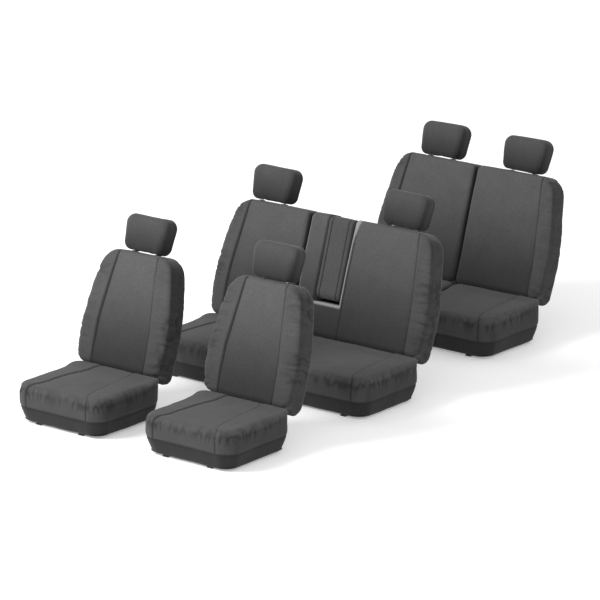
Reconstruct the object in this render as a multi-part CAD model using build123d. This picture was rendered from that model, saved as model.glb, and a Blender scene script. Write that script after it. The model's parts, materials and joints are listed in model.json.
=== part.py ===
from build123d import *
import os
from dataclasses import dataclass
from math import radians, tan

# Seat cover set for a seven-seat vehicle: two front seats, a 60/40 second row with a fold-down
# centre armrest, and a 50/50 third row.  Every cover is fitted on the seat that it is made for.
# Millimetres, +Z up, seats face -Y, left and right are those of a person sitting in the seat.

# ---- covers ----
COVER = 3.0                 # laminated fabric and its foam backing
COVER_GAP = 0.4             # room between a cover and the foam that it is pulled over

# ---- where the rows stand, measured from the front edge of the front cushions ----
FRONT_SEAT_X = 386.0        # front seat centres, each side of the middle
ROW2_Y = 985.0
ROW3_Y = 2140.0
ROW2_WIDTH = 1302.0
ROW3_WIDTH = 1074.0
ROW2_SPLIT_X = -143.0       # middle of the gap between the 60 and the 40 part
SPLIT_GAP = 6.0             # between the two parts of a split bench
FRONT_WIDTH = 532.0

# ---- cushions ----
FRONT_CUSHION_TOP = 186.0
ROW2_CUSHION_TOP = 195.0
ROW3_CUSHION_TOP = 203.0
FRONT_CUSHION_DEPTH = 455.0
ROW2_CUSHION_DEPTH = 460.0
ROW3_CUSHION_DEPTH = 468.0
WIDEST_SHARE = 0.55         # height of the widest line, as a share of the cushion height
SIDE_TUCK = 13.0            # degrees, lower side wall running in towards the floor
SIDE_RISE = 4.0             # degrees, upper side wall running in towards the top
CUSHION_FRONT_R = 78.0
CUSHION_REAR_R = 52.0
CUSHION_SHARED_R = 46.0     # corners beside a split
CUSHION_TOP_R = 36.0
CUSHION_FOOT_R = 10.0
HEM_WIDTH = 60.0            # fabric turned under the cushion, front and rear
HEM_SIDE = 20.0             # and at the sides

# ---- backs, in a frame whose origin is the fold axis ----
LEAN = 18.0                 # degrees behind upright
BACK_FRONT = 30.0           # axis to front face
BACK_BELOW = 30.0           # axis to bottom edge
FRONT_BACK_TOP = 531.0      # axis to top edge
ROW2_BACK_TOP = 561.0
ROW3_BACK_TOP = 578.0
BACK_EDGE_R = 27.0
BACK_SHOULDER_R = 92.0
BACK_SPLIT_R = 31.0         # top corners beside a split
BACK_FOOT_R = 44.0
BACK_WAIST_R = 420.0
BACK_TAPER = 62.0           # shoulders narrower than the waist, each free side
BACK_TUCK = 12.0            # bottom narrower than the waist, each free side
WAIST_SHARE = 0.34
AXIS_BEHIND_CUSHION = 15.0  # cushion rear face to fold axis
AXIS_ABOVE_CUSHION = 34.0

# ---- headrests ----
HEADREST_WIDTH = 262.0
HEADREST_HEIGHT = 172.0
HEADREST_DEPTH = 102.0
HEADREST_CORNER_R = 44.0
HEADREST_EDGE_R = 38.0
HEADREST_GAP = 6.0          # under the lowered headrest
HEADREST_Y = 30.0           # posts and headrest middle, behind the fold axis
ROW2_LEFT_HEADREST_X = 384.0
ROW2_RIGHT_HEADREST_X = -420.0
ROW3_HEADREST_X = 254.0
POST_R = 6.0
POST_SPACING = 140.0
POST_BELOW = 150.0          # post below the top of the back
POST_INTO_HEADREST = 96.0
POST_BEND_R = 20.0
RUNNING = 0.05              # radial clearance of shafts and posts
GUIDE_R = 8.5
GUIDE_LENGTH = 110.0
GUIDE_FLANGE_R = 16.0
GUIDE_FLANGE = 3.0
SOCKET_R = 11.0
SOCKET_LENGTH = 82.0

# ---- seat structure ----
RAIL_WIDTH = 30.0
RAIL = 6.0
RAIL_FRONT = 30.0           # rail starts behind the cushion's front edge
RAIL_BEHIND_AXIS = 58.0     # rail runs on behind the fold axis
BOLT_R = 5.5
FRONT_BOLT = 80.0           # bolt behind the front end of its rail
REAR_BOLT = 20.0            # bolt before the rear end of its rail
HINGE_INSET = 135.0         # from a free side to the hinge
SPLIT_HINGE_INSET = 66.0    # from a split side to the hinge
LEG = 5.0                   # upright plate and lug thickness
LEG_HALF_WIDTH = 12.0
LEG_FOOT = 36.0
PLATE_GAP = 0.4             # between the upright and the lug
PIN_R = 5.0
PIN_HEAD_R = 7.5
PIN_HEAD = 1.8
SLOT_SIDE = 2.0             # room beside the hinge plates
SLOT_TOP = 14.0
TUBE_R = 10.0
TUBE_FRONT_FOAM = 2.6       # foam between the tube and the armrest recess's rear wall
TUBE_REAR_FOAM = 10.6       # foam behind the tube
TUBE_FOOT = 44.0
TUBE_BELOW_TOP = 72.0
TUBE_BEND_R = 55.0
CHANNEL = 0.4               # foam clears the frame by this much

# ---- cushion pan, straps and hooks ----
HEM_FLOOR = 6.5             # underside of the turned-in hem
PAN = 3.0
HOOK = 1.6
HOOK_ROOM = 0.3
HOOK_WIDTH = 24.0
HOOK_GRIP = 14.0
STRAP_WIDTH = 20.0
STRAP = 2.0
STRAP_X = 60.0              # straps either side of a cushion's middle
PAN_FOOT_LENGTH = 60.0
PAN_FOOT_SHARES = (0.36, 0.68)

# ---- centre armrest, in the frame of the second row's left back ----
ARMREST_X = -20.0           # side nearest the split
ARMREST_WIDTH = 144.0
ARMREST_FOOT = 154.0        # lowest point above the fold axis
ARMREST_BELOW_TOP = 4.0
ARMREST_DEPTH = 75.0
ARMREST_HEEL_R = 35.0
ARMREST_TIP_R = 32.0
ARMREST_EDGE_R = 14.0
RECESS_NEAR = 4.0           # beside the armrest, on the strip's side
RECESS_FAR = 18.0           # beside the armrest, on the seat's side
RECESS_BELOW = 13.0
RECESS_BEHIND = 5.0
RECESS_NOTCH = 46.0         # open to the rear above this distance from the top
ARMREST_PIN_R = 6.0
BUSH_R = 9.0
BUSH_INSET = 4.5
ARM_PLATE = 5.0
ARM_PLATE_OFFSET = 32.0     # armrest side to its support plate
ARM_POST_R = 8.0
ARM_POST_BELOW_BAR = 6.0    # top of the support's upright, under the middle of the tube's top bar


# The tube runs behind the armrest recess, and the back is as deep as armrest and tube need.
INNER = COVER + COVER_GAP
TUBE_Y = ARMREST_DEPTH - BACK_FRONT + RECESS_BEHIND + INNER + TUBE_FRONT_FOAM + TUBE_R
BACK_REAR = TUBE_Y + TUBE_R + TUBE_REAR_FOAM + INNER   # axis to rear face


@dataclass
class Seat:
    name: str
    x_low: float
    x_high: float
    y: float
    depth: float
    cushion_top: float
    back_top: float
    headrest_x: float
    free_low: bool = True
    free_high: bool = True
    armrest: bool = False

    @property
    def middle(self):
        return (self.x_low + self.x_high) / 2

    @property
    def hinge_x(self):
        low = HINGE_INSET if self.free_low else SPLIT_HINGE_INSET
        high = HINGE_INSET if self.free_high else SPLIT_HINGE_INSET
        return (self.x_low + low, self.x_high - high)

    @property
    def axis_y(self):
        return self.y + self.depth + AXIS_BEHIND_CUSHION

    @property
    def axis_z(self):
        return self.cushion_top + AXIS_ABOVE_CUSHION

    @property
    def back_place(self):
        return Pos(0, self.axis_y, self.axis_z) * Rot(X=-LEAN)


def front_seat(name, side):
    x = side * FRONT_SEAT_X
    half = FRONT_WIDTH / 2
    return Seat(name, x - half, x + half, 0, FRONT_CUSHION_DEPTH, FRONT_CUSHION_TOP, FRONT_BACK_TOP, x)


def row2_seat(name, x_low, x_high, headrest_x, **sides):
    return Seat(name, x_low, x_high, ROW2_Y, ROW2_CUSHION_DEPTH, ROW2_CUSHION_TOP, ROW2_BACK_TOP,
                headrest_x, **sides)


def row3_seat(name, x_low, x_high, headrest_x, **sides):
    return Seat(name, x_low, x_high, ROW3_Y, ROW3_CUSHION_DEPTH, ROW3_CUSHION_TOP, ROW3_BACK_TOP,
                headrest_x, **sides)


half_gap = SPLIT_GAP / 2
seats = [
    front_seat("row1_left", 1),
    front_seat("row1_right", -1),
    row2_seat("row2_left", ROW2_SPLIT_X + half_gap, ROW2_WIDTH / 2, ROW2_LEFT_HEADREST_X,
              free_low=False, armrest=True),
    row2_seat("row2_right", -ROW2_WIDTH / 2, ROW2_SPLIT_X - half_gap, ROW2_RIGHT_HEADREST_X,
              free_high=False),
    row3_seat("row3_left", half_gap, ROW3_WIDTH / 2, ROW3_HEADREST_X, free_low=False),
    row3_seat("row3_right", -ROW3_WIDTH / 2, -half_gap, -ROW3_HEADREST_X, free_high=False),
]


# ---- shapes shared by several pieces ----

def box(x, y, z):
    """Box between two limits on each axis."""
    size = (x[1] - x[0], y[1] - y[0], z[1] - z[0])
    centre = (sum(x) / 2, sum(y) / 2, sum(z) / 2)
    return Pos(*centre) * Box(*size)


def bar(start, end, radius):
    """Round bar from one point to another."""
    line = Line(start, end)
    return extrude(Plane(line @ 0, z_dir=line % 0) * Circle(radius), line.length)


def rounded_outline(corners):
    """Closed outline through (u, v, radius) corners."""
    outline = make_face(Polyline([(u, v) for u, v, _ in corners], close=True))
    for u, v, radius in corners:
        corner = outline.vertices().sort_by_distance((u, v, 0))[0]
        outline = fillet(corner, radius)
    return outline


def slab(outline, front, rear, edge_r):
    """Outline in X and Z, as thick as front to rear in Y, with rounded front and rear edges."""
    solid = extrude(Plane.XZ.offset(-rear) * outline, rear - front)
    faces = solid.faces().sort_by(Axis.Y)
    return fillet(faces[0].edges() + faces[-1].edges(), edge_r)


def plate_between(x, thickness, near, near_r, far, far_r):
    """Flat plate across X, drawn round two circles given as (y, z)."""
    rims = [Pos(*near) * Circle(near_r), Pos(*far) * Circle(far_r)]
    outline = make_hull(rims[0].edges() + rims[1].edges())
    return extrude(Plane.YZ.offset(x - thickness / 2) * outline, thickness)


# ---- cushions ----

def cushion_outline(seat, inset):
    low_front = CUSHION_FRONT_R if seat.free_low else CUSHION_SHARED_R
    low_rear = CUSHION_REAR_R if seat.free_low else CUSHION_SHARED_R
    high_front = CUSHION_FRONT_R if seat.free_high else CUSHION_SHARED_R
    high_rear = CUSHION_REAR_R if seat.free_high else CUSHION_SHARED_R
    x0 = seat.x_low + inset
    x1 = seat.x_high - inset
    y0 = seat.y + inset
    y1 = seat.y + seat.depth - inset
    return rounded_outline([(x0, y0, low_front - inset), (x1, y0, high_front - inset),
                            (x1, y1, high_rear - inset), (x0, y1, low_rear - inset)])


def cushion_form(seat, inset, floor):
    """Bowl-sided cushion: widest above the middle, drawn in to the floor and to the top."""
    widest = seat.cushion_top * WIDEST_SHARE
    top = seat.cushion_top - inset
    outline = Pos(0, 0, widest) * cushion_outline(seat, inset)
    upper = extrude(outline, top - widest, taper=SIDE_RISE)
    lower = extrude(outline, floor - widest, taper=SIDE_TUCK)
    solid = upper + lower
    solid = fillet(solid.faces().sort_by(Axis.Z)[-1].edges(), CUSHION_TOP_R - inset)
    return fillet(solid.faces().sort_by(Axis.Z)[0].edges(), CUSHION_FOOT_R - inset)


def foot_inset(seat):
    """How far the tucked side wall has run in at the hem."""
    return (seat.cushion_top * WIDEST_SHARE - HEM_FLOOR) * tan(radians(SIDE_TUCK))


def hem_opening(seat):
    """Limits of the opening under the cushion, as x and y pairs."""
    side = foot_inset(seat) + HEM_SIDE
    end = foot_inset(seat) + HEM_WIDTH
    return ((seat.x_low + side, seat.x_high - side), (seat.y + end, seat.y + seat.depth - end))


def hem_top():
    return HEM_FLOOR + COVER


def pan_floor():
    return hem_top() + HOOK_ROOM + HOOK + 1.0


def cushion_cover(seat):
    shell = cushion_form(seat, 0, HEM_FLOOR) - cushion_form(seat, COVER, hem_top())
    x, y = hem_opening(seat)
    return shell - box(x, y, (HEM_FLOOR - 1, hem_top() + 1))


def cushion_body(seat):
    """Everything inside the cover, from the pan up."""
    return cushion_form(seat, COVER + COVER_GAP, pan_floor())


def cushion_foam(seat):
    above_pan = pan_floor() + PAN + COVER_GAP
    far = seat.depth + 1
    room = box((seat.x_low, seat.x_high), (seat.y, seat.y + far), (above_pan, seat.cushion_top))
    return cushion_body(seat) & room


def pan_foot(seat, x, share):
    middle = seat.y + seat.depth * share
    ends = (middle - PAN_FOOT_LENGTH / 2, middle + PAN_FOOT_LENGTH / 2)
    return box((x - RAIL_WIDTH / 2, x + RAIL_WIDTH / 2), ends, (RAIL, pan_floor() + PAN))


def seat_pan(seat):
    """Pressed plate under the foam, standing on the rails with four feet."""
    levels = (pan_floor(), pan_floor() + PAN)
    room = box((seat.x_low, seat.x_high), (seat.y, seat.y + seat.depth), levels)
    feet = [pan_foot(seat, rail_x(seat, x), share) for x in seat.hinge_x for share in PAN_FOOT_SHARES]
    return (cushion_body(seat) & room) + feet


def hook(x, edge_y, inward):
    """Flat hook gripping the hem's free edge; inward is +1 at the front edge and -1 at the rear."""
    side = (x - HOOK_WIDTH / 2, x + HOOK_WIDTH / 2)
    back = edge_y + inward * (HOOK_ROOM + HOOK)
    outer = (HEM_FLOOR - HOOK_ROOM - HOOK, hem_top() + HOOK_ROOM + HOOK)
    inner = (HEM_FLOOR - HOOK_ROOM, hem_top() + HOOK_ROOM)
    grip = edge_y - inward * HOOK_GRIP
    block = box(side, sorted((grip, back)), outer)
    return block - box(side, sorted((grip - inward, back - inward * HOOK)), inner)


def strap_places(seat):
    return (seat.middle - STRAP_X, seat.middle + STRAP_X)


def seat_hooks(seat):
    front, rear = hem_opening(seat)[1]
    places = strap_places(seat)
    return [hook(x, front, 1) for x in places] + [hook(x, rear, -1) for x in places]


def seat_straps(seat):
    front, rear = hem_opening(seat)[1]
    reach = HOOK_ROOM + HOOK
    level = (HEM_FLOOR + hem_top()) / 2
    height = (level - STRAP / 2, level + STRAP / 2)
    half = STRAP_WIDTH / 2
    return [box((x - half, x + half), (front + reach, rear - reach), height) for x in strap_places(seat)]


# ---- floor rails and hinges ----

def rail_x(seat, hinge):
    """Middle of the upright plate beside a hinge lug."""
    return hinge - LEG - PLATE_GAP


def rail_ends(seat):
    return (seat.y + RAIL_FRONT, seat.axis_y + RAIL_BEHIND_AXIS)


def base_rail(seat, hinge):
    """Floor bar with the upright plate that carries the fold axis."""
    x = rail_x(seat, hinge)
    front, rear = rail_ends(seat)
    floor_bar = box((x - RAIL_WIDTH / 2, x + RAIL_WIDTH / 2), (front, rear), (0, RAIL))
    y = seat.axis_y
    w = LEG_HALF_WIDTH
    outline = make_face(Polyline((y - w, RAIL), (y + w + LEG_FOOT, RAIL), (y + w, RAIL + LEG_FOOT),
                                 (y + w, seat.axis_z), (y - w, seat.axis_z), close=True))
    outline += Pos(y, seat.axis_z) * Circle(w)
    upright = extrude(Plane.YZ.offset(x - LEG / 2) * outline, LEG)
    holes = [Pos(x, spot, RAIL / 2) * Cylinder(BOLT_R, 2 * RAIL)
             for spot in (front + FRONT_BOLT, rear - REAR_BOLT)]
    eye = bar((x - LEG, y, seat.axis_z), (x + LEG, y, seat.axis_z), PIN_R + RUNNING)
    return floor_bar + upright - holes - eye


def hinge_pin(seat, hinge):
    low = rail_x(seat, hinge) - LEG / 2 - PLATE_GAP / 2
    high = hinge + LEG / 2 + PLATE_GAP / 2
    y = seat.axis_y
    z = seat.axis_z
    shaft = bar((low - PIN_HEAD, y, z), (high + PIN_HEAD, y, z), PIN_R)
    heads = [bar((low - PIN_HEAD, y, z), (low, y, z), PIN_HEAD_R),
             bar((high, y, z), (high + PIN_HEAD, y, z), PIN_HEAD_R)]
    return shaft + heads


# ---- backs, drawn upright about the fold axis ----

def back_outline(seat, inset):
    top = seat.back_top - inset
    bottom = inset - BACK_BELOW
    waist = seat.back_top * WAIST_SHARE
    corners = []
    for free, edge, inward in ((seat.free_low, seat.x_low, 1), (seat.free_high, seat.x_high, -1)):
        x = edge + inward * inset
        if free:
            side = [(x + inward * BACK_TUCK, bottom, BACK_FOOT_R - inset),
                    (x, waist, BACK_WAIST_R),
                    (x + inward * BACK_TAPER, top, BACK_SHOULDER_R - inset)]
        else:
            side = [(x, bottom, BACK_SPLIT_R - inset), (x, top, BACK_SPLIT_R - inset)]
        corners += side if inward == 1 else side[::-1]
    return rounded_outline(corners)


def recess_limits(seat, inset):
    """Armrest recess grown by inset: x limits, floor, rear wall and the open notch's sill."""
    x = (ARMREST_X - RECESS_NEAR - inset, ARMREST_X + ARMREST_WIDTH + RECESS_FAR + inset)
    floor = ARMREST_FOOT - RECESS_BELOW - inset
    rear = ARMREST_DEPTH - BACK_FRONT + RECESS_BEHIND + inset
    sill = seat.back_top - RECESS_NOTCH - inset
    return x, floor, rear, sill


def recess(seat, inset):
    x, floor, rear, sill = recess_limits(seat, inset)
    above = seat.back_top + 1
    pocket = box(x, (-BACK_FRONT - 1, rear), (floor, above))
    notch = box(x, (-BACK_FRONT - 1, BACK_REAR + 1), (sill, above))
    return pocket + notch


def back_form(seat, inset):
    solid = slab(back_outline(seat, inset), inset - BACK_FRONT, BACK_REAR - inset, BACK_EDGE_R - inset)
    return solid - recess(seat, inset) if seat.armrest else solid


def hinge_slots(seat):
    """Openings at the foot of the back for the upright plates and lugs."""
    slots = []
    for hinge in seat.hinge_x:
        low = rail_x(seat, hinge) - LEG / 2 - PLATE_GAP - PIN_HEAD - SLOT_SIDE
        high = hinge + LEG / 2 + PLATE_GAP + PIN_HEAD + SLOT_SIDE
        slots.append(box((low, high), (-BACK_FRONT - 1, BACK_REAR + 1), (-BACK_BELOW - 1, SLOT_TOP)))
    return slots


def post_places(seat):
    return (seat.headrest_x - POST_SPACING / 2, seat.headrest_x + POST_SPACING / 2)


def back_cover(seat):
    shell = back_form(seat, 0) - back_form(seat, COVER)
    top = seat.back_top
    holes = [bar((x, HEADREST_Y, top - 2 * COVER), (x, HEADREST_Y, top + 1), GUIDE_R + CHANNEL)
             for x in post_places(seat)]
    pin_holes = [armrest_pin_bore(seat, CHANNEL)] if seat.armrest else []
    return shell - holes - hinge_slots(seat) - pin_holes


def tube_path(seat):
    low, high = seat.hinge_x
    top = seat.back_top - TUBE_BELOW_TOP
    return FilletPolyline((low, TUBE_Y, TUBE_FOOT), (low, TUBE_Y, top), (high, TUBE_Y, top),
                          (high, TUBE_Y, TUBE_FOOT), radius=TUBE_BEND_R)


def frame_tube(seat, radius):
    path = tube_path(seat)
    return sweep(Plane(path @ 0, z_dir=path % 0) * Circle(radius), path=path)


def lug(hinge, grow):
    return plate_between(hinge, LEG + 2 * grow, (0, 0), LEG_HALF_WIDTH + grow,
                         (TUBE_Y, TUBE_FOOT + TUBE_R), TUBE_R + grow)


def post_sockets(seat, grow):
    """Welded sockets for the headrest guides, bracketed to the tube's top bar."""
    parts = []
    top = seat.back_top - COVER - CHANNEL - 1
    bar_z = seat.back_top - TUBE_BELOW_TOP
    for x in post_places(seat):
        parts.append(bar((x, HEADREST_Y, top - SOCKET_LENGTH - grow), (x, HEADREST_Y, top + grow),
                         SOCKET_R + grow))
        parts.append(box((x - SOCKET_R / 2 - grow, x + SOCKET_R / 2 + grow),
                         (HEADREST_Y, TUBE_Y), (bar_z - TUBE_R / 2 - grow, bar_z + TUBE_R / 2 + grow)))
    return parts


def arm_plate_places():
    return (ARMREST_X - ARM_PLATE_OFFSET, ARMREST_X + ARMREST_WIDTH + ARM_PLATE_OFFSET)


def armrest_axis():
    """Armrest pivot as (y, z) in the back's frame."""
    return (ARMREST_DEPTH / 2 - BACK_FRONT, ARMREST_FOOT + ARMREST_DEPTH / 2)


def armrest_pin_bore(seat, grow):
    y, z = armrest_axis()
    low, high = arm_plate_places()
    end = ARM_PLATE / 2 + grow
    return bar((low - end, y, z), (high + end, y, z), ARMREST_PIN_R + grow)


def armrest_supports(seat, grow):
    """Two plates that hold the armrest pin, each on an upright under the tube's top bar."""
    y, z = armrest_axis()
    top = seat.back_top - TUBE_BELOW_TOP - ARM_POST_BELOW_BAR
    parts = []
    for x in arm_plate_places():
        parts.append(plate_between(x, ARM_PLATE + 2 * grow, (y, z), 2 * ARMREST_PIN_R + grow,
                                   (TUBE_Y, z), ARM_POST_R + grow))
        parts.append(bar((x, TUBE_Y, z - grow), (x, TUBE_Y, top), ARM_POST_R + grow))
    return parts


def frame_solid(seat, grow):
    parts = [lug(hinge, grow) for hinge in seat.hinge_x] + post_sockets(seat, grow)
    if seat.armrest:
        parts += armrest_supports(seat, grow)
    return frame_tube(seat, TUBE_R + grow) + parts


def headrest_guide(seat, x):
    """Plastic sleeve pushed into its socket, with a flange on top of the cover."""
    top = seat.back_top
    sleeve = bar((x, HEADREST_Y, top - GUIDE_LENGTH), (x, HEADREST_Y, top + 0.2), GUIDE_R)
    flange = bar((x, HEADREST_Y, top + 0.2), (x, HEADREST_Y, top + 0.2 + GUIDE_FLANGE), GUIDE_FLANGE_R)
    bore = bar((x, HEADREST_Y, top - GUIDE_LENGTH - 1), (x, HEADREST_Y, top + 2 * GUIDE_FLANGE),
               POST_R + RUNNING)
    return sleeve + flange - bore


def back_frame(seat):
    welded = frame_solid(seat, 0)
    y = HEADREST_Y
    holes = [bar((x, y, 0), (x, y, seat.back_top), GUIDE_R + RUNNING) for x in post_places(seat)]
    eyes = [bar((hinge - LEG, 0, 0), (hinge + LEG, 0, 0), PIN_R + RUNNING) for hinge in seat.hinge_x]
    welded = welded - holes - eyes
    if seat.armrest:
        welded = welded - armrest_pin_bore(seat, RUNNING)
    return [welded] + [headrest_guide(seat, x) for x in post_places(seat)]


def back_foam(seat):
    solid = back_form(seat, INNER) - frame_solid(seat, CHANNEL) - hinge_slots(seat)
    bottom = seat.back_top - POST_BELOW - 2 * POST_R
    y = HEADREST_Y
    bores = [bar((x, y, bottom), (x, y, seat.back_top), SOCKET_R + CHANNEL) for x in post_places(seat)]
    solid = solid - bores
    return solid - armrest_pin_bore(seat, CHANNEL) if seat.armrest else solid


# ---- headrests, in the frame of their back ----

def headrest_form(seat, inset):
    half = HEADREST_WIDTH / 2 - inset
    low = seat.back_top + HEADREST_GAP + inset
    high = seat.back_top + HEADREST_GAP + HEADREST_HEIGHT - inset
    x = seat.headrest_x
    r = HEADREST_CORNER_R - inset
    outline = rounded_outline([(x - half, low, r), (x + half, low, r), (x + half, high, r),
                               (x - half, high, r)])
    reach = HEADREST_DEPTH / 2 - inset
    return slab(outline, HEADREST_Y - reach, HEADREST_Y + reach, HEADREST_EDGE_R - inset)


def headrest_cover(seat):
    shell = headrest_form(seat, 0) - headrest_form(seat, COVER)
    low = seat.back_top + HEADREST_GAP
    y = HEADREST_Y
    holes = [bar((x, y, low - 1), (x, y, low + 2 * COVER), POST_R + 2) for x in post_places(seat)]
    return shell - holes


def post_hoop(seat, radius):
    """The two posts and the bar that joins them inside the headrest."""
    low, high = post_places(seat)
    foot = seat.back_top - POST_BELOW
    head = seat.back_top + HEADREST_GAP + POST_INTO_HEADREST
    y = HEADREST_Y
    path = FilletPolyline((low, y, foot), (low, y, head), (high, y, head), (high, y, foot),
                          radius=POST_BEND_R)
    return sweep(Plane(path @ 0, z_dir=path % 0) * Circle(radius), path=path)


def headrest_foam(seat):
    return headrest_form(seat, INNER) - post_hoop(seat, POST_R + CHANNEL)


# ---- centre armrest ----

def armrest_form(seat, inset):
    front = inset - BACK_FRONT
    rear = ARMREST_DEPTH - BACK_FRONT - inset
    low = ARMREST_FOOT + inset
    high = seat.back_top - ARMREST_BELOW_TOP - inset
    heel = ARMREST_HEEL_R - inset
    tip = ARMREST_TIP_R - inset
    outline = rounded_outline([(front, low, heel), (rear, low, heel), (rear, high, tip),
                               (front, high, tip)])
    solid = extrude(Plane.YZ.offset(ARMREST_X + inset) * outline, ARMREST_WIDTH - 2 * inset)
    sides = solid.faces().sort_by(Axis.X)
    return fillet(sides[0].edges() + sides[-1].edges(), ARMREST_EDGE_R - inset)


def bush_bore(radius, inset):
    y, z = armrest_axis()
    return bar((ARMREST_X + inset, y, z), (ARMREST_X + ARMREST_WIDTH - inset, y, z), radius)


def armrest_cover(seat):
    shell = armrest_form(seat, 0) - armrest_form(seat, COVER)
    return shell - bush_bore(BUSH_R + CHANNEL, -1)


def armrest_foam(seat):
    return armrest_form(seat, INNER) - bush_bore(BUSH_R + CHANNEL, -1)


def armrest_bush(seat):
    return bush_bore(BUSH_R, BUSH_INSET) - bush_bore(ARMREST_PIN_R + RUNNING, -1)


# ---- assembly ----

def placed(seat, solids):
    return [seat.back_place * solid for solid in solids]


nodes = {"seat_pans": [], "base_rails": [], "hinge_pins": [], "elastic_straps": [], "strap_hooks": []}
for seat in seats:
    nodes[seat.name + "_cushion_cover"] = [cushion_cover(seat)]
    nodes[seat.name + "_cushion_foam"] = [cushion_foam(seat)]
    nodes[seat.name + "_back_cover"] = placed(seat, [back_cover(seat)])
    nodes[seat.name + "_back_foam"] = placed(seat, [back_foam(seat)])
    nodes[seat.name + "_back_frame"] = placed(seat, back_frame(seat))
    nodes[seat.name + "_headrest_cover"] = placed(seat, [headrest_cover(seat)])
    nodes[seat.name + "_headrest_foam"] = placed(seat, [headrest_foam(seat)])
    nodes[seat.name + "_headrest_posts"] = placed(seat, [post_hoop(seat, POST_R)])
    nodes["seat_pans"].append(seat_pan(seat))
    nodes["base_rails"] += [base_rail(seat, hinge) for hinge in seat.hinge_x]
    nodes["hinge_pins"] += [hinge_pin(seat, hinge) for hinge in seat.hinge_x]
    nodes["elastic_straps"] += seat_straps(seat)
    nodes["strap_hooks"] += seat_hooks(seat)
    if seat.armrest:
        nodes["armrest_cover"] = placed(seat, [armrest_cover(seat)])
        nodes["armrest_foam"] = placed(seat, [armrest_foam(seat)])
        nodes["armrest_bush"] = placed(seat, [armrest_bush(seat)])
        nodes["armrest_pin"] = placed(seat, [armrest_pin_bore(seat, 0)])

# The origin is on the floor, in the middle of the whole set's length and width.
front_end = nodes["row1_left_cushion_cover"][0].bounding_box().min.Y
rear_end = nodes["row3_left_headrest_cover"][0].bounding_box().max.Y
to_origin = Pos(0, -(front_end + rear_end) / 2, 0)

os.makedirs("parts", exist_ok=True)
for name, shapes in nodes.items():
    solids = [solid for shape in shapes for solid in (to_origin * shape).solids()]
    export_step(Compound(children=solids), "parts/" + name + ".step")
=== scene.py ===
import json
from math import cos, radians, sin, tau

import bpy
import numpy as np
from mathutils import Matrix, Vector


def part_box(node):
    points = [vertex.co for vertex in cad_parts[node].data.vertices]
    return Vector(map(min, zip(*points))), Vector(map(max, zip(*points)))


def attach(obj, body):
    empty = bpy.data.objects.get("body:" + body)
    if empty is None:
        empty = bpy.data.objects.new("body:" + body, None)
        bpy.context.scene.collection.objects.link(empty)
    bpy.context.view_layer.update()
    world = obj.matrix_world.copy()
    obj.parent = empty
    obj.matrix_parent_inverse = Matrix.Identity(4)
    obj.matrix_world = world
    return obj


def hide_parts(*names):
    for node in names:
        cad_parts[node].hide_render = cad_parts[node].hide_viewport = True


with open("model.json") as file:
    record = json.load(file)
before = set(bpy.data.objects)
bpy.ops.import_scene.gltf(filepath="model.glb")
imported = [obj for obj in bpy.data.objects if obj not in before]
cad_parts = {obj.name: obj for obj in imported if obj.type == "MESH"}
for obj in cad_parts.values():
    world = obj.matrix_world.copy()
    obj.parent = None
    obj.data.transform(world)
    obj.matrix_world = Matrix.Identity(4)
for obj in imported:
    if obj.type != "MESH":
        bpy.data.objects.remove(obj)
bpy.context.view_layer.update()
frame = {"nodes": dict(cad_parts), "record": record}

# ---- sizes, metres ----
LEAN = radians(18)
GRID = 0.0055               # mesh spacing on the covers
BACK_FRONT = 0.030
BACK_REAR = 0.090
BACK_BELOW = 0.030
BACK_TOP = {"row1": 0.531, "row2": 0.561, "row3": 0.578}
BACK_TAPER = 0.062
TAIL_DROP = 0.034           # the rear of a back hangs lower behind its cushion
SHOULDER_R = 0.088
SPLIT_R = 0.033
FREE_SIDES = {"row1_left": (1, 1), "row1_right": (1, 1), "row2_left": (0, 1),
              "row2_right": (1, 0), "row3_left": (0, 1), "row3_right": (1, 0)}
BOLSTER = {"row1": 0.100, "row2": 0.088, "row3": 0.080}
CUSHION_FRONT_R = 0.078
CUSHION_REAR_R = 0.052
CUSHION_SPLIT_R = 0.046     # corners beside a split
HEADREST = (0.262, 0.102, 0.172)
HEADREST_Y = 0.030
HEADREST_TAPER = 0.09       # narrower at the foot
HEADREST_GAP = 0.006
ARMREST_X = (-0.020, 0.124)
ARMREST_FOOT = 0.154
ARMREST_DEPTH = 0.075
RECESS_NEAR = 0.004
RECESS_FAR = 0.018
BEVEL = 0.018               # rounded welt along the recess; its light colour is a painted highlight
RECESS_BELOW = 0.013

joints = {joint["name"]: joint for joint in frame["record"]["behaviour"]["joints"]}


# ---- smooth noise, the same every run ----

def lattice(cells, seed):
    """Repeatable values between -1 and 1 for whole-number cells."""
    n = cells[..., 0] * 374761393 + cells[..., 1] * 668265263 + cells[..., 2] * 2147483647
    n = (n + seed * 1442695041) & 0xFFFFFFFF
    n = ((n ^ (n >> 13)) * 1274126177) & 0xFFFFFFFF
    n = (n ^ (n >> 16)) & 0xFFFF
    return n / 32767.5 - 1


def noise(points, size, seed=0):
    """Value noise with features of the given size."""
    scaled = points / np.asarray(size)
    cell = np.floor(scaled).astype(np.int64)
    part = scaled - cell
    part = part * part * (3 - 2 * part)
    total = np.zeros(len(points))
    for corner in range(8):
        offset = np.array([corner & 1, corner >> 1 & 1, corner >> 2 & 1])
        weight = np.prod(np.where(offset, part, 1 - part), axis=1)
        total += weight * lattice(cell + offset, seed)
    return total


def step(low, high, value):
    """0 to 1 as value goes from low to high; low may be the larger."""
    t = np.clip((value - low) / (high - low), 0, 1)
    return t * t * (3 - 2 * t)


def ridge(distance, width):
    """1 on a line, falling to 0 at about its width."""
    return np.exp(-(distance / width) ** 2)


# ---- closed cushion-like forms ----

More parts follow.
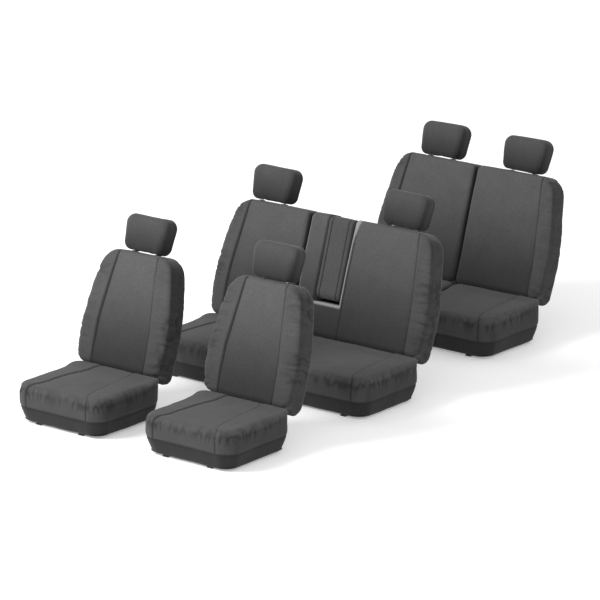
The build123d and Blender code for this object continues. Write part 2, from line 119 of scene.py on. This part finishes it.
def box_grid(half):
    """Points and faces of a box surface, on an even grid; returns points in -1..1 and quads."""
    counts = [max(4, round(2 * h / GRID)) for h in half]
    index = {}
    points = []
    quads = []

    def vertex(i, j, k):
        key = (i, j, k)
        if key not in index:
            index[key] = len(points)
            points.append([2 * i / counts[0] - 1, 2 * j / counts[1] - 1, 2 * k / counts[2] - 1])
        return index[key]

    for axis in range(3):
        u, v = [a for a in range(3) if a != axis]
        for side in (0, counts[axis]):
            for i in range(counts[u]):
                for j in range(counts[v]):
                    ring = []
                    for di, dj in ((0, 0), (1, 0), (1, 1), (0, 1)):
                        key = [0, 0, 0]
                        key[axis] = side
                        key[u] = i + di
                        key[v] = j + dj
                        ring.append(vertex(*key))
                    outward = (side > 0) != (axis == 1)
                    quads.append(ring if outward else ring[::-1])
    return np.array(points), quads


def round_slab(unit, half, corner_r, edge_low, edge_high, thick):
    """Round a box: corners in the plane across the thick axis, then the edges of both faces.

    corner_r gives a radius for (low u low v, high u low v, low u high v, high u high v)."""
    u, v = [a for a in range(3) if a != thick]
    flat = unit[:, [u, v]] * [half[u], half[v]]
    depth = unit[:, thick] * half[thick]
    size = np.array([half[u], half[v]])
    right = flat[:, 0] > 0
    upper = flat[:, 1] > 0
    radius = np.select([~right & ~upper, right & ~upper, ~right & upper], corner_r[:3], corner_r[3])
    core = np.clip(flat, -(size - radius[:, None]), size - radius[:, None])
    arm = flat - core
    length = np.linalg.norm(arm, axis=1)
    corner = (np.abs(arm) > 1e-9).all(axis=1)
    reach = np.abs(arm).max(axis=1)
    turn = np.where(corner, reach / np.maximum(length, 1e-9), 1)
    flat = core + arm * turn[:, None]
    # distance in from the outline, and the way out of it
    gap = size - np.abs(flat)
    inward = np.where(corner, radius - reach, gap.min(axis=1))
    nearer_u = (gap[:, 0] < gap[:, 1])[:, None]
    side_out = np.where(nearer_u, [1, 0] * np.sign(flat), [0, 1] * np.sign(flat))
    out = np.where(corner[:, None], arm / np.maximum(length, 1e-9)[:, None], side_out)
    edge = np.where(depth < 0, edge_low, edge_high)
    across = np.clip(edge - inward, 0, None)
    along = np.clip(np.abs(depth) - (half[thick] - edge), 0, None)
    both = (across > 0) & (along > 0)
    span = np.maximum(np.hypot(across, along), 1e-9)
    scale = np.where(both, np.maximum(across, along) / span, 1)
    flat = flat + out * ((across * scale - across) * both)[:, None]
    depth = np.sign(depth) * (np.abs(depth) + (along * scale - along) * both)
    points = np.zeros_like(unit)
    points[:, u] = flat[:, 0]
    points[:, v] = flat[:, 1]
    points[:, thick] = depth
    return points


def normals_of(points, quads):
    q = np.array(quads)
    face = np.cross(points[q[:, 2]] - points[q[:, 0]], points[q[:, 3]] - points[q[:, 1]])
    total = np.zeros_like(points)
    for column in range(4):
        np.add.at(total, q[:, column], face)
    return total / np.maximum(np.linalg.norm(total, axis=1), 1e-12)[:, None]


def lean_back(points, pivot):
    """Take points from a back's own upright frame to their place on the leaning back."""
    y = points[:, 1] * cos(LEAN) + points[:, 2] * sin(LEAN)
    z = -points[:, 1] * sin(LEAN) + points[:, 2] * cos(LEAN)
    return np.stack([points[:, 0], y + pivot[1], z + pivot[2]], axis=1)


def make_piece(name, points, quads, tone, material):
    mesh = bpy.data.meshes.new(name)
    mesh.from_pydata(points.tolist(), [], quads)
    mesh.polygons.foreach_set("use_smooth", [True] * len(mesh.polygons))
    layer = mesh.attributes.new("tone", "FLOAT_COLOR", "POINT")
    colors = np.stack([tone[:, 0], tone[:, 1], np.zeros(len(tone)), np.ones(len(tone))], axis=1)
    layer.data.foreach_set("color", colors.ravel())
    mesh.update()
    piece = bpy.data.objects.new(name, mesh)
    bpy.context.collection.objects.link(piece)
    piece.data.materials.append(material)
    return piece


# ---- materials ----

def new_material(name):
    material = bpy.data.materials.new(name)
    material.use_nodes = True
    tree = material.node_tree
    return material, tree, tree.nodes["Principled BSDF"]


def node(tree, kind, **inputs):
    made = tree.nodes.new(kind)
    for key, value in inputs.items():
        made.inputs[key].default_value = value
    return made


def cover_fabric():
    """Charcoal woven fabric; the tone attribute holds panel tone with painted shade and painted highlights,
    and seam lines.
    """
    material, tree, shader = new_material("cover_fabric")
    link = tree.links.new
    coords = node(tree, "ShaderNodeTexCoord")
    tone = node(tree, "ShaderNodeAttribute")
    tone.attribute_name = "tone"
    split = node(tree, "ShaderNodeSeparateColor")
    link(tone.outputs["Color"], split.inputs[0])
    weave = node(tree, "ShaderNodeTexNoise", Scale=620.0, Detail=2.0, Roughness=0.6)
    cloudy = node(tree, "ShaderNodeTexNoise", Scale=9.0, Detail=4.0, Roughness=0.6)
    slub = node(tree, "ShaderNodeTexNoise", Scale=130.0, Detail=3.0, Roughness=0.7)
    for texture in (weave, cloudy, slub):
        link(coords.outputs["Object"], texture.inputs["Vector"])
    grain = node(tree, "ShaderNodeMath")
    grain.operation = "MULTIPLY_ADD"
    link(weave.outputs["Fac"], grain.inputs[0])
    grain.inputs[1].default_value = 0.55
    link(slub.outputs["Fac"], grain.inputs[2])
    ramp = node(tree, "ShaderNodeMapRange")
    ramp.inputs["From Min"].default_value = 0.45
    ramp.inputs["From Max"].default_value = 1.15
    ramp.inputs["To Min"].default_value = 0.72
    ramp.inputs["To Max"].default_value = 1.28
    link(grain.outputs[0], ramp.inputs["Value"])
    patch = node(tree, "ShaderNodeMapRange")
    patch.inputs["From Min"].default_value = 0.3
    patch.inputs["From Max"].default_value = 0.7
    patch.inputs["To Min"].default_value = 0.93
    patch.inputs["To Max"].default_value = 1.07
    link(cloudy.outputs["Fac"], patch.inputs["Value"])
    value = split.outputs[0]
    for factor in (ramp.outputs[0], patch.outputs[0]):
        times = node(tree, "ShaderNodeMath")
        times.operation = "MULTIPLY"
        link(value, times.inputs[0])
        link(factor, times.inputs[1])
        value = times.outputs[0]
    tint = node(tree, "ShaderNodeCombineColor")
    for channel in range(3):
        link(value, tint.inputs[channel])
    link(tint.outputs[0], shader.inputs["Base Color"])
    bump = node(tree, "ShaderNodeBump", Strength=0.35, Distance=0.0008)
    link(grain.outputs[0], bump.inputs["Height"])
    link(bump.outputs["Normal"], shader.inputs["Normal"])
    shader.inputs["Roughness"].default_value = 0.82
    shader.inputs["Specular IOR Level"].default_value = 0.25
    shader.inputs["Sheen Weight"].default_value = 0.12
    shader.inputs["Sheen Roughness"].default_value = 0.45
    return material


def plain_metal(name, color, metallic, roughness):
    """Metal or paint with fine wear in its gloss."""
    material, tree, shader = new_material(name)
    coords = node(tree, "ShaderNodeTexCoord")
    wear = node(tree, "ShaderNodeTexNoise", Scale=90.0, Detail=5.0)
    tree.links.new(coords.outputs["Object"], wear.inputs["Vector"])
    spread = node(tree, "ShaderNodeMapRange")
    spread.inputs["To Min"].default_value = roughness - 0.1
    spread.inputs["To Max"].default_value = roughness + 0.15
    tree.links.new(wear.outputs["Fac"], spread.inputs["Value"])
    tree.links.new(spread.outputs[0], shader.inputs["Roughness"])
    bump = node(tree, "ShaderNodeBump", Strength=0.15, Distance=0.0004)
    tree.links.new(wear.outputs["Fac"], bump.inputs["Height"])
    tree.links.new(bump.outputs["Normal"], shader.inputs["Normal"])
    shader.inputs["Base Color"].default_value = (*color, 1)
    shader.inputs["Metallic"].default_value = metallic
    return material


FABRIC = cover_fabric()
BLACK_PAINT = plain_metal("black_paint", (0.03, 0.03, 0.032), 0.0, 0.45)
ZINC = plain_metal("zinc_plate", (0.6, 0.6, 0.62), 1.0, 0.35)
ELASTIC = plain_metal("woven_elastic", (0.02, 0.02, 0.02), 0.0, 0.8)

BOLSTER_TONE = 0.066
INSERT_TONE = 0.077         # at the top of a back's insert
INSERT_FOOT_SHADED_TONE = 0.024    # and at its foot, darker with painted shade
# painted shade on the side faces of backs and cushions
SIDE_SHADED_TONE = 0.028
CUSHION_TONE = 0.061
# painted shade: cushion front walls darker than the tops
CUSHION_FRONT_SHADED_TONE = 0.048
# painted shade: the skirt tucked under each cushion
SKIRT_SHADED_TONE = 0.010
HEADREST_TONE = 0.058
# painted shade: headrests darker toward the foot
HEADREST_FOOT_SHADED_TONE = 0.020
ARMREST_TONE = 0.062
SEAM_TONE = 0.010
# painted highlight on the recess bevel and on the strip's edge at the split
BEVEL_HIGHLIGHT_TONE = 0.260


def shade(base, seam):
    """Panel tone, darkened on seams."""
    value = base * (1 - seam) + SEAM_TONE * seam
    return np.stack([value, seam], axis=1)


# ---- backs ----

def back_limits(seat):
    low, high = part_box(seat + "_back_cover")
    return low[0], high[0]


def back_points(seat):
    """Base form in the back's own frame: x in the row, y from the fold axis, z up the back."""
    row = seat[:4]
    x_low, x_high = back_limits(seat)
    top = BACK_TOP[row]
    half = np.array([(x_high - x_low) / 2, (BACK_REAR + BACK_FRONT) / 2, (top + BACK_BELOW) / 2])
    free = FREE_SIDES[seat]
    unit, quads = box_grid(half)
    foot = [0.044 if side else SPLIT_R for side in free]
    head = [SHOULDER_R if side else SPLIT_R for side in free]
    points = round_slab(unit, half, (*foot, *head), 0.027, 0.027, 1)
    share = np.clip(points[:, 2] / (2 * half[2]) + 0.5, 0, 1)
    waist = 0.36
    taper = BACK_TAPER * np.clip((share - waist) / (1 - waist), 0, 1) ** 1.35
    taper += 0.012 * np.clip((waist - share) / waist, 0, 1) ** 2
    side = points[:, 0] / half[0]
    pull = np.where(side > 0, free[1] * taper, free[0] * taper)
    points[:, 0] -= side * pull
    rear = step(-0.02, 0.06, points[:, 1])
    points[:, 2] -= TAIL_DROP * rear * step(0.22, 0.0, share)
    points[:, 0] += (x_low + x_high) / 2
    points[:, 1] += (BACK_REAR - BACK_FRONT) / 2
    points[:, 2] += (top - BACK_BELOW) / 2
    return points, quads, share, taper


def back_shape(seat):
    row = seat[:4]
    seed = sorted(FREE_SIDES).index(seat) + 1
    points, quads, share, taper = back_points(seat)
    free = FREE_SIDES[seat]
    x_low, x_high = back_limits(seat)
    normal = normals_of(points, quads)
    x, y, z = points.T
    front = step(0.25, 0.75, -normal[:, 1])
    shaded_side_face = step(0.5, 0.9, np.abs(normal[:, 0]))
    edges = [x_low + taper * free[0], x_high - taper * free[1]]
    curve = BOLSTER[row] + 0.012 * np.sin(share * tau * 0.5) - 0.006
    lines = []
    bolster = np.zeros(len(points))
    for index, inward in ((0, 1), (1, -1)):
        if not free[index]:
            continue
        seam_x = edges[index] + inward * (curve - taper * 0.15)
        lines.append(np.abs(x - seam_x) / GRID)
        outside = (seam_x - x) * inward
        bolster = np.maximum(bolster, step(-0.002, 0.006, outside))
    if seat == "row2_left":
        lines.append(np.abs(x - (ARMREST_X[1] + RECESS_FAR + 0.012)) / GRID)
    seam = np.zeros(len(points))
    for distance in lines:
        seam = np.maximum(seam, ridge(distance, 0.62))
    seam *= front
    # welt round the front edge where the side panel is sewn on
    welt = ridge(np.abs(y + BACK_FRONT - 0.010) / GRID, 0.8) * step(0.3, 0.6, 1 - front)
    # filled shape: the insert is crowned, the bolsters stand up
    across = np.clip((x - edges[0]) / (edges[1] - edges[0]), 0, 1)
    crown = 0.007 * np.sin(across * np.pi) * np.sin(np.clip(share, 0, 1) * np.pi)
    puff = 0.009 * bolster * np.sin(np.clip(share, 0, 1) * np.pi) ** 0.5
    height = front * (crown + puff) - seam * 0.0035
    # gathers across the bolsters and sides, strongest at the outer edge
    outer = np.minimum(x - edges[0], edges[1] - x) if all(free) else (
        edges[1] - x if free[1] else x - edges[0])
    rim = ridge(outer, 0.065) * (1 - step(0.4, 0.9, normal[:, 1]))
    warp = noise(points, (0.16, 0.05, 0.09), seed) * 0.016
    bent = np.stack([x, y, z + warp], axis=1)
    folds = ridge(noise(bent, (0.10, 0.09, 0.024), seed + 20), 0.16)
    fine = ridge(noise(bent, (0.06, 0.06, 0.013), seed + 40), 0.20)
    patchy = 0.35 + 0.65 * step(-0.5, 0.4, noise(points, (0.2, 0.2, 0.10), seed + 50))
    creases = rim * patchy * (0.75 * folds + 0.45 * fine)
    height -= 0.0055 * creases
    height += 0.0030 * rim * noise(bent, (0.14, 0.09, 0.035), seed + 55)
    height += 0.0020 * noise(points, 0.13, seed + 60) + 0.0006 * noise(points, 0.045, seed + 80)
    points = points + normal * height[:, None]
    # painted shade: the insert and the bolsters darken toward the foot of the back
    insert = INSERT_FOOT_SHADED_TONE + (INSERT_TONE - INSERT_FOOT_SHADED_TONE) * step(0.0, 0.95, share)
    padded = BOLSTER_TONE * (0.72 + 0.28 * step(0.0, 0.8, share))
    base = insert * (1 - bolster) + padded * bolster
    # painted shade: side faces take the darker side tone
    base = base * (1 - shaded_side_face) + SIDE_SHADED_TONE * shaded_side_face
    # painted shade in the creases
    base = base * (1 - 0.45 * np.clip(creases, 0, 1))
    return points, quads, shade(base, np.clip(seam + 0.5 * welt, 0, 1))


def recess_in(points):
    """Carve the armrest recess into the second row's left back; also returns the recess mask and a painted
    highlight on its bevel and on the strip's split edge.
    """
    x, y, z = points.T
    left = ARMREST_X[0] - RECESS_NEAR
    right = ARMREST_X[1] + RECESS_NEAR
    floor = ARMREST_FOOT - RECESS_BELOW
    soft = 0.005
    inside = step(left - soft, left, x) * (1 - step(right, right + soft, x)) * step(floor - soft, floor, z)
    rear = ARMREST_DEPTH - BACK_FRONT + 0.005
    flare = BEVEL * (1 + 1.2 * step(BACK_TOP["row2"] - 0.16, BACK_TOP["row2"], z) ** 2)
    right_way = (x - right) / flare
    down_way = (floor - z) / BEVEL
    beyond = np.maximum(np.maximum(right_way, down_way), 0)
    bevel = (beyond > 0) & (beyond < 1) & (x > left) & (y < 0)
    split_way = (x - x.min()) / BEVEL
    shoulder = (split_way < 1) & (y < 0)
    carved = points.copy()
    drop = np.where(bevel, np.clip(1 - beyond, 0, None) ** 1.5, 0)
    carved[:, 1] += 0.010 * drop
    fore = carved[:, 1] < rear
    carved[:, 1] = np.where(fore, carved[:, 1] + (rear - carved[:, 1]) * inside, carved[:, 1])
    sill = BACK_TOP["row2"] - 0.046
    carved[:, 2] = np.where(z > sill, z - (z - sill) * inside, z)
    # painted highlight on the rounded recess edges, and a weaker one on the strip's edge at the split
    light = np.where(bevel, np.sin(np.clip(beyond, 0, 1) * np.pi) ** 0.5, 0)
    light = np.maximum(light, np.where(shoulder, 0.55 * np.sin(np.clip(split_way, 0, 1) * np.pi), 0))
    return carved, inside, light


def build_back(seat):
    points, quads, tone = back_shape(seat)
    if seat == "row2_left":
        points, inside, light = recess_in(points)
        # painted highlight on the bevel
        value = tone[:, 0] * (1 - light) + BEVEL_HIGHLIGHT_TONE * light
        # painted shade inside the armrest recess
        value = value * (1 - 0.85 * inside)
        tone = np.stack([value, tone[:, 1]], axis=1)
    pivot = joints[seat + "_fold"]["pos_m"]
    piece = make_piece(seat + "_back", lean_back(points, pivot), quads, tone, FABRIC)
    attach(piece, seat + "_back")
    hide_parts(seat + "_back_cover", seat + "_back_foam")


# ---- headrests ----

def build_headrest(seat):
    seed = sorted(FREE_SIDES).index(seat) + 100
    half = np.array(HEADREST) / 2
    unit, quads = box_grid(half)
    points = round_slab(unit, half, (0.036, 0.036, 0.046, 0.046), 0.034, 0.034, 1)
    normal = normals_of(points, quads)
    share = points[:, 2] / half[2]
    points[:, 0] *= 1 - HEADREST_TAPER * step(0.6, -1.0, share)
    seam = ridge((points[:, 1] - 0.012) / GRID, 0.8) * step(0.2, 0.5, 1 - np.abs(normal[:, 1]))
    height = 0.0012 * noise(points, 0.05, seed) + 0.0022 * noise(points, 0.11, seed + 7)
    pleats = noise(points, (0.022, 0.09, 0.09), seed + 3)
    height += 0.0018 * ridge(share + 1, 0.35) * pleats
    height -= 0.0015 * seam
    points = points + normal * height[:, None]
    low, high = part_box(seat + "_headrest_posts")
    middle = (low[0] + high[0]) / 2
    top = BACK_TOP[seat[:4]]
    points += [middle, HEADREST_Y, top + HEADREST_GAP + half[2]]
    # painted shade: the headrest darkens toward its foot and on its sides
    base = HEADREST_FOOT_SHADED_TONE + (HEADREST_TONE - HEADREST_FOOT_SHADED_TONE) * step(-1.0, 0.9, share)
    base *= 1 - 0.45 * step(0.5, 0.95, np.abs(normal[:, 0]))
    tone = shade(base, np.clip(0.7 * seam, 0, 1))
    pivot = joints[seat + "_fold"]["pos_m"]
    piece = make_piece(seat + "_headrest", lean_back(points, pivot), quads, tone, FABRIC)
    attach(piece, seat + "_headrest")
    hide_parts(seat + "_headrest_cover", seat + "_headrest_foam")


# ---- cushions ----

def build_cushion(seat):
    seed = sorted(FREE_SIDES).index(seat) + 200
    low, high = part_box(seat + "_cushion_cover")
    low = np.array(low)
    high = np.array(high)
    half = (high - low) / 2
    middle = (high + low) / 2
    free = FREE_SIDES[seat]
    unit, quads = box_grid(half)
    front_r = [CUSHION_FRONT_R if side else CUSHION_SPLIT_R for side in free]
    rear_r = [CUSHION_REAR_R if side else CUSHION_SPLIT_R for side in free]
    top_edge = 0.042 - 0.026 * step(0.2, 0.9, unit[:, 1])
    points = round_slab(unit, half, (*front_r, *rear_r), 0.014, top_edge, 2)
    normal = normals_of(points, quads)
    share = points[:, 2] / (2 * half[2]) + 0.5
    tuck = 0.026 * np.clip((0.55 - share) / 0.55, 0, 1) ** 1.5
    points[:, 0] -= points[:, 0] / half[0] * tuck
    points[:, 1] -= points[:, 1] / half[1] * tuck
    x, y, z = points.T
    top = step(0.3, 0.8, normal[:, 2])
    forward = np.clip(-y / half[1] * 0.5 + 0.5, 0, 1)
    lines = []
    outside = np.zeros(len(points))
    for index, sign in ((0, -1), (1, 1)):
        if not free[index]:
            continue
        inset = BOLSTER[seat[:4]] + 0.050 * (1 - forward) + 0.012
        inset = inset - 0.030 * step(0.75, 1.0, forward) ** 2
        seam_x = sign * (half[0] - inset)
        lines.append(np.abs(x - seam_x))
        outside = np.maximum(outside, step(-0.002, 0.006, (x - seam_x) * sign))
    seam = np.zeros(len(points))
    for distance in lines:
        seam = np.maximum(seam, ridge(distance / GRID, 0.62))
    upper = step(0.42, 0.5, share)
    seam *= np.maximum(top, upper * step(0.4, 0.8, -normal[:, 1]))
    hem = ridge((share - 0.43) * 2 * half[2] / GRID, 0.7) * (1 - top)
    crown = 0.013 * np.cos(np.clip(x / half[0], -1, 1) * np.pi / 2) ** 0.6
    crown = crown * np.cos(y / half[1] * np.pi / 2) ** 0.6
    rear_lift = 0.009 * step(0.55, 0.95, y / half[1])
    height = top * (crown + rear_lift + 0.004 * outside) - 0.003 * seam - 0.0025 * hem
    walls = (1 - step(0.75, 1.0, np.abs(normal[:, 2])))
    rim = ridge((share - 0.84) * 2 * half[2], 0.026) * (1 - step(0.9, 1.0, normal[:, 2]))
    run = np.stack([x, y, z * 0.25], axis=1)
    warp = noise(points, 0.07, seed) * 0.010
    folds = ridge(noise(run + warp[:, None], (0.024, 0.024, 0.05), seed + 20), 0.20)
    corner = 0.45 + 0.55 * step(-0.2, 0.8, np.abs(x) / half[0] - 0.6 * y / half[1] - 0.5)
    creases = rim * corner * folds
    height -= 0.0048 * creases
    height += walls * 0.0010 * noise(points, (0.05, 0.05, 0.12), seed + 30)
    height += 0.0025 * noise(points, 0.14, seed + 40) + 0.0008 * noise(points, 0.05, seed + 50)
    points = points + normal * height[:, None]
    # painted light and shade: the top is lightest, the front wall darker, the side walls darkest
    front_wall = step(0.2, 0.8, -normal[:, 1])
    wall = SIDE_SHADED_TONE + (CUSHION_FRONT_SHADED_TONE - SIDE_SHADED_TONE) * front_wall
    base = CUSHION_TONE * top + wall * (1 - top)
    # painted shade: the skirt tucked under the cushion is darkened, a little less on the front
    skirt = 1 - step(0.40, 0.50, share)
    base = base * (1 - skirt) + SKIRT_SHADED_TONE * (1 + 0.5 * front_wall) * skirt
    # painted shade in the creases
    base = base * (1 - 0.55 * np.clip(creases, 0, 1))
    points += middle
    tone = shade(base, np.clip(seam + 0.6 * hem, 0, 1))
    piece = make_piece(seat + "_cushion", points, quads, tone, FABRIC)
    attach(piece, "seats")
    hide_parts(seat + "_cushion_cover", seat + "_cushion_foam")


# ---- armrest ----

def build_armrest():
    top = BACK_TOP["row2"] - 0.004
    half = np.array([(ARMREST_X[1] - ARMREST_X[0]) / 2, ARMREST_DEPTH / 2, (top - ARMREST_FOOT) / 2])
    unit, quads = box_grid(half)
    points = round_slab(unit, half, (0.035, 0.035, 0.032, 0.032), 0.014, 0.014, 0)
    normal = normals_of(points, quads)
    seam = np.maximum(ridge((points[:, 0] - half[0] + 0.022) / GRID, 0.6),
                      ridge((points[:, 0] + half[0] - 0.022) / GRID, 0.6))
    seam *= step(0.3, 0.8, np.abs(normal[:, 1]))
    height = 0.003 * step(0.3, 0.8, np.abs(normal[:, 1])) + 0.0016 * noise(points, 0.08, 300) - 0.002 * seam
    points = points + normal * height[:, None]
    points += [sum(ARMREST_X) / 2, ARMREST_DEPTH / 2 - BACK_FRONT, (top + ARMREST_FOOT) / 2]
    pivot = joints["row2_left_fold"]["pos_m"]
    base = np.full(len(points), ARMREST_TONE)
    piece = make_piece("armrest_pad", lean_back(points, pivot), quads, shade(base, seam), FABRIC)
    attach(piece, "armrest")
    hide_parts("armrest_cover", "armrest_foam")


for name in FREE_SIDES:
    build_back(name)
    build_headrest(name)
    build_cushion(name)
build_armrest()


# ---- materials of the structure ----

def finish_node(name, material):
    obj = frame["nodes"][name]
    for slot in range(max(1, len(obj.material_slots))):
        if obj.material_slots:
            obj.material_slots[slot].material = material
        else:
            obj.data.materials.append(material)


for name in FREE_SIDES:
    finish_node(name + "_back_frame", BLACK_PAINT)
    finish_node(name + "_headrest_posts", ZINC)
for name in ("seat_pans", "base_rails", "armrest_bush"):
    finish_node(name, BLACK_PAINT)
for name in ("hinge_pins", "strap_hooks", "armrest_pin"):
    finish_node(name, ZINC)
finish_node("elastic_straps", ELASTIC)


# ---- floor, light, camera ----

FLOOR_SIZE = 30.0
FLOOR_GLOW = 0.28
WORLD_STRENGTH = 0.72

def build_floor():
    bpy.ops.mesh.primitive_plane_add(size=FLOOR_SIZE, location=(0, 0, 0))
    floor = bpy.context.object
    floor.name = "floor"
    material, tree, shader = new_material("floor_white")
    shader.inputs["Base Color"].default_value = (0.95, 0.95, 0.95, 1)
    shader.inputs["Roughness"].default_value = 0.9
    shader.inputs["Emission Color"].default_value = (1, 1, 1, 1)
    shader.inputs["Emission Strength"].default_value = FLOOR_GLOW
    floor.data.materials.append(material)


def add_light(name, place, target, power, size):
    data = bpy.data.lights.new(name, "AREA")
    data.energy = power
    data.size = size
    lamp = bpy.data.objects.new(name, data)
    lamp.location = place
    lamp.rotation_euler = (Vector(target) - Vector(place)).to_track_quat("-Z", "Y").to_euler()
    bpy.context.collection.objects.link(lamp)


def build_world():
    world = bpy.data.worlds.new("studio")
    world.use_nodes = True
    background = world.node_tree.nodes["Background"]
    background.inputs[0].default_value = (1, 1, 1, 1)
    background.inputs[1].default_value = WORLD_STRENGTH
    bpy.context.scene.world = world
    bpy.context.scene.view_settings.view_transform = "Standard"


CAMERA_AZIMUTH = radians(38.27)
CAMERA_ELEVATION = radians(15.99)
CAMERA_DISTANCE = 19.59
CAMERA_TARGET = Vector((0.107, -0.258, 0.454))
FOCAL = 247.0


def build_camera():
    data = bpy.data.cameras.new("camera")
    data.lens = FOCAL
    data.sensor_width = 36
    away = Vector((sin(CAMERA_AZIMUTH) * cos(CAMERA_ELEVATION),
                   -cos(CAMERA_AZIMUTH) * cos(CAMERA_ELEVATION), sin(CAMERA_ELEVATION)))
    camera = bpy.data.objects.new("camera", data)
    camera.location = CAMERA_TARGET + away * CAMERA_DISTANCE
    camera.rotation_euler = (-away).to_track_quat("-Z", "Y").to_euler()
    bpy.context.collection.objects.link(camera)
    bpy.context.scene.camera = camera


build_floor()
build_world()
add_light("key", (-4.0, -6.0, 6.0), (0, 0, 0.4), 620, 3.5)
add_light("fill", (5.0, -5.0, 3.0), (0, 0, 0.4), 60, 4.0)
build_camera()
